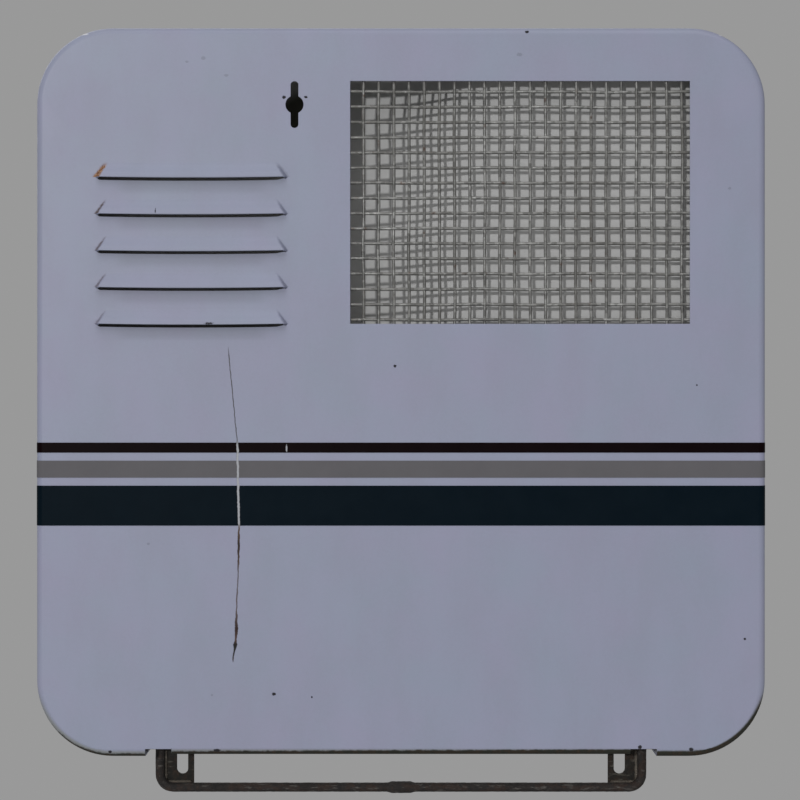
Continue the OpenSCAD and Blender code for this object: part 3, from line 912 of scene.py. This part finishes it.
def make_paint(effects):
    """Old white enamel: faint blotches, dark chips, the long scratch, and rust at edges and ends, with
    painted shadow below the slits, painted shade on the right creases and lower edge, and painted highlights
    on the lower bend and top corners.
    """
    material, tree, shader, position = new_material("white_enamel")
    blotch = noise_at(tree, position, 0.035, 3.0, 0.6)
    colour = ramp(tree, blotch, [(0.3, ENAMEL_COOL), (0.7, ENAMEL_WARM)]).outputs["Color"]
    grime = use_group(tree, effects["grime"], Position=position, Amount=0.12)["Mask"]
    colour = mix_colour(tree, grime, colour, (0.2, 0.2, 0.22, 1))
    scuffs = fade(tree, noise_at(tree, position, 0.55, 6.0, 0.75), 0.76, 0.69)
    colour = mix_colour(tree, calc(tree, "MULTIPLY", scuffs, 0.3), colour, (0.16, 0.16, 0.17, 1))

    # Painted shadow: a darker bluish band under each louvre's slit.
    shadow_below_slits = calc(tree, "MULTIPLY", painted_shadow_below_slits(tree, position), 0.21)
    colour = mix_colour(tree, shadow_below_slits, colour, (0.15, 0.155, 0.19, 1))

    rust = use_group(tree, effects["rust"], Position=position, Amount=0.5, Grain=0.3)
    # This lower-edge mask carries real dirt and also painted shade where the bend faces down.
    dirt = underside_dirt_and_shade(tree, position)
    right_crease_shade, turns = louvre_crease(tree, position, 1)
    left_rust, turns = louvre_crease(tree, position, -1)
    left_rust = calc(tree, "MULTIPLY", left_rust, calc(tree, "MULTIPLY_ADD", turns, -0.16, 1.0))
    # Painted shade: darker grey along the creases at the hoods' right ends.
    colour = mix_colour(tree, calc(tree, "MULTIPLY", right_crease_shade, 0.3), colour, (0.1, 0.1, 0.13, 1))
    top_louvre = fade(tree, turns, 0.0, 0.3)
    flecks = fade(tree, noise_at(tree, position, 1.1, 4.0, 0.7), 0.62, 0.42)
    orange = mix_colour(tree, flecks, (0.18, 0.08, 0.035, 1), (0.42, 0.25, 0.15, 1))
    orange = mix_colour(tree, top_louvre, (0.085, 0.05, 0.03, 1), orange)
    colour = mix_colour(tree, left_rust, colour, orange)
    # Painted highlight: a yellow-grey tone where the lower bend's curve faces down.
    lower_bend_highlight = calc(tree, "MULTIPLY", fade(tree, facing_of(tree)["Z"], -0.4, -0.05),
                    fade(tree, axes_of(tree, position)["Z"], 30.0, 40.0))
    colour = mix_colour(tree, calc(tree, "MULTIPLY", lower_bend_highlight, 0.6), colour, (0.27, 0.28, 0.23, 1))
    # Wet dirt and rust, darkened further as painted shade on the downward-facing lower edge.
    wet_dirt_and_shade = mix_colour(tree, calc(tree, "MULTIPLY", rust["Mask"], 0.2), (0.028, 0.029, 0.021, 1),
                          rust["Colour"])
    colour = mix_colour(tree, dirt, colour, wet_dirt_and_shade)

    faint = calc(tree, "MULTIPLY", chips(tree, effects, position, FAINT_CHIPS), 0.35)
    colour = mix_colour(tree, faint, colour, (0.12, 0.13, 0.16, 1))
    # Dark chips, with one painted shade spot at the dented lip of the lowest louvre.
    dark = chips(tree, effects, position, DARK_CHIPS_AND_DENT_SHADE)
    colour = mix_colour(tree, dark, colour, (0.022, 0.02, 0.024, 1))
    # Bright spots: painted glints on the top corners' bends, and a bare chip.
    bright = chips(tree, effects, position, BRIGHT_CHIPS_AND_GLINTS)
    colour = mix_colour(tree, bright, colour, (0.62, 0.63, 0.68, 1))
    scratch = use_group(tree, effects["scratch"], Position=position)
    colour = mix_colour(tree, scratch["Mask"], colour, scratch["Colour"])
    tree.links.new(colour, shader.inputs["Base Color"])

    shader.inputs["Specular IOR Level"].default_value = 0.35
    rough_spots = largest(tree, [dark, dirt, left_rust, scratch["Mask"]])
    dulled = calc(tree, "MULTIPLY_ADD", blotch, 0.1, 0.38)
    tree.links.new(calc(tree, "MULTIPLY_ADD", rough_spots, 0.35, dulled), shader.inputs["Roughness"])
    skin = use_group(tree, effects["skin"], Position=position, Peel=0.01, Wave=0.04)["Height"]
    sunk = calc(tree, "MULTIPLY", largest(tree, [dark, scratch["Mask"]]), -0.12)
    bump(tree, shader, calc(tree, "ADD", skin, sunk), 1.0)
    return material


def make_inside(effects):
    """The dull grey inside of the pan, with dust and rust spots, and black to bounced light."""
    material, tree, shader, position = new_material("inside_grey")
    blotch = noise_at(tree, position, 0.05, 4.0, 0.6)
    colour = ramp(tree, blotch, [(0.3, (0.28, 0.285, 0.32)), (0.7, (0.37, 0.37, 0.4))])
    colour = colour.outputs["Color"]
    grime = use_group(tree, effects["grime"], Position=position, Amount=0.5)["Mask"]
    colour = mix_colour(tree, grime, colour, (0.15, 0.14, 0.125, 1))
    rust = use_group(tree, effects["rust"], Position=position, Amount=0.345, Grain=0.07)
    colour = mix_colour(tree, rust["Mask"], colour, rust["Colour"])
    # Painted shade: bounced light finds the inside black, so no light passes on inside the pan and the slits
    # and keyhole stay dark.
    between = add_node(tree, "ShaderNodeLightPath").outputs["Is Diffuse Ray"]
    colour = mix_colour(tree, between, colour, (0, 0, 0, 1))
    tree.links.new(colour, shader.inputs["Base Color"])
    dull = calc(tree, "MULTIPLY_ADD", largest(tree, [rust["Mask"], grime]), 0.3, 0.5)
    tree.links.new(dull, shader.inputs["Roughness"])
    skin = use_group(tree, effects["skin"], Position=position, Peel=0.03, Wave=0.08)["Height"]
    lifted = calc(tree, "MULTIPLY", rust["Mask"], 0.06)
    bump(tree, shader, calc(tree, "ADD", skin, lifted), 1.0)
    return material


def make_vinyl(effects, name, colour, faded):
    """Stripe film, with the scratch cut through it down to the paint."""
    material, tree, shader, position = new_material(name)
    blotch = noise_at(tree, position, 0.08, 4.0, 0.6)
    tone = mix_colour(tree, blotch, (*colour, 1), (*faded, 1))
    grime = use_group(tree, effects["grime"], Position=position, Amount=0.03)["Mask"]
    tone = mix_colour(tree, grime, tone, (0.03, 0.03, 0.032, 1))
    bright = chips(tree, effects, position, BRIGHT_CHIPS_AND_GLINTS[2:])
    scratch = use_group(tree, effects["scratch"], Position=position)
    tone = mix_colour(tree, bright, tone, (0.42, 0.43, 0.47, 1))
    tone = mix_colour(tree, scratch["Mask"], tone, scratch["Colour"])
    tree.links.new(tone, shader.inputs["Base Color"])
    shader.inputs["Specular IOR Level"].default_value = 0.03
    dull = calc(tree, "MULTIPLY_ADD", blotch, 0.15, 0.3)
    worn = largest(tree, [scratch["Mask"], bright])
    tree.links.new(calc(tree, "MULTIPLY_ADD", worn, 0.25, dull), shader.inputs["Roughness"])
    skin = use_group(tree, effects["skin"], Position=position, Peel=0.008, Wave=0.04)["Height"]
    cut = calc(tree, "MULTIPLY", scratch["Mask"], -0.12)
    bump(tree, shader, calc(tree, "ADD", skin, cut), 1.0)
    return material


def make_zinc(effects):
    """Weathered zinc on the wires: dull grey with brighter crystals and brown spots."""
    material, tree, shader, position = new_material("weathered_zinc")
    crystals = add_node(tree, "ShaderNodeTexVoronoi", {"Vector": position, "Scale": 0.55})
    tone = ramp(tree, crystals.outputs["Color"], [(0.2, (0.15, 0.15, 0.145)), (0.8, (0.31, 0.31, 0.3))])
    tone = tone.outputs["Color"]
    grime = use_group(tree, effects["grime"], Position=position, Amount=0.7)["Mask"]
    tone = mix_colour(tree, grime, tone, (0.11, 0.105, 0.095, 1))
    rust = use_group(tree, effects["rust"], Position=position, Amount=0.34, Grain=0.2)
    tone = mix_colour(tree, calc(tree, "MULTIPLY", rust["Mask"], 0.7), tone, rust["Colour"])
    tree.links.new(tone, shader.inputs["Base Color"])
    tree.links.new(calc(tree, "MULTIPLY_ADD", grime, -0.4, 0.55), shader.inputs["Metallic"])
    tree.links.new(calc(tree, "MULTIPLY_ADD", grime, 0.35, 0.38), shader.inputs["Roughness"])
    lumps = noise_at(tree, position, 1.6, 3.0)
    bump(tree, shader, lumps, 0.1)
    return material


def make_rusty_steel(effects, name, low, high, worn):
    """Dark rusty steel: brown scale with pits, redder patches and worn lighter streaks, made stronger on
    front-facing sides as a painted highlight.
    """
    material, tree, shader, position = new_material(name)
    scale_tone = noise_at(tree, position, 0.45, 5.0, 0.65)
    colour = ramp(tree, scale_tone, [(0.3, low), (0.7, high)]).outputs["Color"]
    rust = use_group(tree, effects["rust"], Position=position, Amount=0.5, Grain=0.22)
    colour = mix_colour(tree, calc(tree, "MULTIPLY", rust["Mask"], 0.18), colour, rust["Colour"])
    streaks = add_node(tree, "ShaderNodeMapping", {"Vector": position, "Scale": (0.16, 0.7, 0.7)})
    rubbed_and_highlit = fade(tree, noise_at(tree, streaks.outputs["Vector"], 1.0, 5.0, 0.7), 0.66, 0.54)
    # Painted highlight: the worn streaks are strongest where the surface faces the front.
    outer = fade(tree, facing_of(tree)["Y"], -0.9, -0.4)
    rubbed_and_highlit = calc(tree, "MULTIPLY", rubbed_and_highlit, calc(tree, "MULTIPLY_ADD", outer, 0.7, 0.3))
    colour = mix_colour(tree, rubbed_and_highlit, colour, (*worn, 1))
    tree.links.new(colour, shader.inputs["Base Color"])
    tree.links.new(calc(tree, "MULTIPLY", rubbed_and_highlit, 0.5), shader.inputs["Metallic"])
    tree.links.new(calc(tree, "MULTIPLY_ADD", rubbed_and_highlit, -0.3, 0.8), shader.inputs["Roughness"])
    pits = noise_at(tree, position, 1.4, 6.0, 0.7)
    bump(tree, shader, calc(tree, "ADD", pits, rust["Height"]), 0.35)
    return material


# Studio


def studio():
    """Camera at the photograph's angle, a pale floor and wall, and plain soft light."""
    scene = bpy.context.scene
    scene.view_settings.view_transform = "Standard"

    camera_data = bpy.data.cameras.new("camera")
    camera_data.sensor_fit = "HORIZONTAL"
    camera_data.angle_x = 2 * math.atan(0.1672)
    camera_data.clip_start = 0.01
    camera = bpy.data.objects.new("camera", camera_data)
    camera.matrix_world = place(92.8 * MM, FACE_Y - 1, 151.5 * MM) @ turn(90, "X")
    scene.collection.objects.link(camera)
    scene.camera = camera

    add_sun("key_light", 1.06, 3, 10, -15, 0)
    add_sun("overhead_light", 1.0, 50, 55, -2, 0.5)
    add_sun("back_light", 0.8, 60, 30, 205, 1)
    add_world(scene)

    add_plane("floor", 3, place(DOOR_X, 0, -20.5 * MM), one_sided("floor_finish", 0.5, 0))
    wall = add_plane("wall", 3, place(DOOR_X, 3 * MM, DOOR_Z) @ turn(90, "X"),
                     one_sided("wall_finish", 0, WALL_TONE))
    wall.visible_shadow = False
    wall.visible_diffuse = False
    wall.visible_glossy = False
    inner = add_plane("inner_wall", 0.14, place(DOOR_X, 2 * MM, DOOR_Z) @ turn(90, "X"),
                      inner_wall_finish(), 48)
    for vert in inner.data.vertices:
        vert.co.y -= wall_bulge(vert.co.x / MM, vert.co.z / MM)
    inner.data.shade_smooth()
    inner.visible_shadow = False
    inner.visible_diffuse = False


WALL_TONE = 0.319


def wall_bulge(x, z):
    """How far the backing behind the window swells towards the wire cloth."""
    to_right = smooth_step((x - 66) / 60)
    to_low = smooth_step((300 - z) / 40) + smooth_step((x - 95) / 40)
    swell = 15.5 * to_right * min(to_low, 1) + 1.6 * noise.noise(Vector((x, 0, z)) / 26)
    return swell * MM * smooth_step((x - 60) / 14) * smooth_step((250 - x) / 20) * smooth_step((z - 150) / 25)


def add_world(scene):
    """An even grey backdrop for the camera, and dimmer light from all round."""
    world = bpy.data.worlds.new("studio")
    world.use_nodes = True
    tree = world.node_tree
    lit = tree.nodes["Background"]
    lit.inputs["Color"].default_value = (0.2, 0.2, 0.2, 1)
    seen = add_node(tree, "ShaderNodeBackground", {"Color": (WALL_TONE, WALL_TONE, WALL_TONE, 1)})
    by_camera = add_node(tree, "ShaderNodeLightPath").outputs["Is Camera Ray"]
    both = add_node(tree, "ShaderNodeMixShader", {0: by_camera, 1: lit.outputs[0],
                                                  2: seen.outputs[0]})
    tree.links.new(both.outputs[0], tree.nodes["World Output"].inputs["Surface"])
    scene.world = world


def add_sun(name, strength, spread, elevation, azimuth, gloss):
    """A sun lamp seen from the door at an elevation above and an azimuth from the camera."""
    data = bpy.data.lights.new(name, "SUN")
    data.energy = strength
    data.angle = math.radians(spread)
    data.specular_factor = gloss
    lamp = bpy.data.objects.new(name, data)
    lamp.matrix_world = turn(azimuth, "Z") @ turn(90 - elevation, "X")
    bpy.context.scene.collection.objects.link(lamp)


def add_plane(name, half, matrix, material, segments=1):
    bm = bmesh.new()
    bmesh.ops.create_grid(bm, x_segments=segments, y_segments=segments, size=half, matrix=matrix)
    mesh = bpy.data.meshes.new(name)
    bm.to_mesh(mesh)
    bm.free()
    mesh.materials.append(material)
    plane = bpy.data.objects.new(name, mesh)
    bpy.context.scene.collection.objects.link(plane)
    return plane


def inner_wall_finish():
    """A pale backing with soft ends, and a painted dark spot behind the keyhole, where light through it would
    fall.
    """
    material = one_sided("inner_wall_finish", 0.57, 0)
    tree = material.node_tree
    position = millimetres(tree)
    matt = next(made for made in tree.nodes if made.type == "BSDF_DIFFUSE")
    # Painted shade: this dark spot keeps the keyhole dark.
    hole = vector_calc(tree, "DISTANCE", position, (52.0, 2.0, 271.0))
    pale = (0.57, 0.57, 0.565, 1)
    tree.links.new(mix_colour(tree, fade(tree, hole, 9.0, 15.0), pale, (0.14, 0.14, 0.115, 1)),
                   matt.inputs["Color"])
    along = axes_of(tree, position)
    edges = [fade(tree, along["X"], -36.0, -46.0), fade(tree, along["X"], 222.0, 232.0),
             fade(tree, along["Z"], 181.0, 158.0), fade(tree, along["Z"], 286.5, 294.0)]
    shown = edges[0]
    for edge in edges[1:]:
        shown = calc(tree, "MINIMUM", shown, edge)
    ends = add_node(tree, "ShaderNodeMixShader")
    exit_socket = tree.nodes["Material Output"].inputs["Surface"]
    tree.links.new(shown, ends.inputs["Fac"])
    tree.links.new(add_node(tree, "ShaderNodeBsdfTransparent").outputs[0], ends.inputs[1])
    tree.links.new(exit_socket.links[0].from_socket, ends.inputs[2])
    tree.links.new(ends.outputs[0], exit_socket)
    return material


def one_sided(name, albedo, glow):
    """A matt or evenly glowing stage finish that is clear from behind."""
    material = bpy.data.materials.new(name)
    material.use_nodes = True
    nodes = material.node_tree.nodes
    links = material.node_tree.links
    nodes.remove(nodes["Principled BSDF"])
    if glow:
        front = nodes.new("ShaderNodeEmission")
        front.inputs["Color"].default_value = (glow, glow, glow, 1)
    else:
        front = nodes.new("ShaderNodeBsdfDiffuse")
        front.inputs["Color"].default_value = (albedo, albedo, albedo, 1)
    clear = nodes.new("ShaderNodeBsdfTransparent")
    side = nodes.new("ShaderNodeNewGeometry")
    mix = nodes.new("ShaderNodeMixShader")
    links.new(side.outputs["Backfacing"], mix.inputs["Fac"])
    links.new(front.outputs[0], mix.inputs[1])
    links.new(clear.outputs[0], mix.inputs[2])
    links.new(mix.outputs[0], nodes["Material Output"].inputs["Surface"])
    return material


# The whole scene

studio()
effects = {
    "chip": make_chip_group(),
    "scratch": make_scratch_group(),
    "rust": make_rust_group(),
    "grime": make_grime_group(),
    "skin": make_skin_group(),
}
paint = make_paint(effects)
inside = make_inside(effects)
zinc = make_zinc(effects)
dark_steel = make_rusty_steel(effects, "dark_rusty_steel", (0.014, 0.0125, 0.012),
                              (0.036, 0.029, 0.026), (0.12, 0.11, 0.1))
tab_steel = make_rusty_steel(effects, "worn_rusty_steel", (0.01, 0.009, 0.007),
                             (0.026, 0.0225, 0.018), (0.12, 0.11, 0.09))
bead_steel = make_rusty_steel(effects, "weld_metal", (0.07, 0.06, 0.05),
                              (0.19, 0.165, 0.135), (0.28, 0.25, 0.21))

pressed_panel(paint, inside)
woven_cloth(zinc)
rusty_rod(dark_steel)
for side in ("left", "right"):
    softened_copy("hinge_tab_" + side, "rusty_tab_" + side, "hinge", tab_steel,
                  0.35 * MM, 3)
    softened_copy("pivot_ear_" + side, "bent_ear_" + side, "door", inside,
                  0.2 * MM, 2)
for side in ("top", "bottom", "left", "right"):
    softened_copy("screen_strip_" + side, "clamp_strip_" + side, "door", inside,
                  0.15 * MM, 2)
weld_beads(bead_steel)
spot_welds(inside)

stripes = {
    "stripe_maroon": make_vinyl(effects, "maroon_film", (0.0035, 0.0011, 0.0016), (0.007, 0.0028, 0.0038)),
    "stripe_grey": make_vinyl(effects, "grey_film", (0.13, 0.126, 0.135), (0.155, 0.15, 0.16)),
    "stripe_navy": make_vinyl(effects, "navy_film", (0.0016, 0.006, 0.0105), (0.004, 0.01, 0.016)),
}
for node_name, film in stripes.items():
    NODES[node_name].data.materials[0] = film
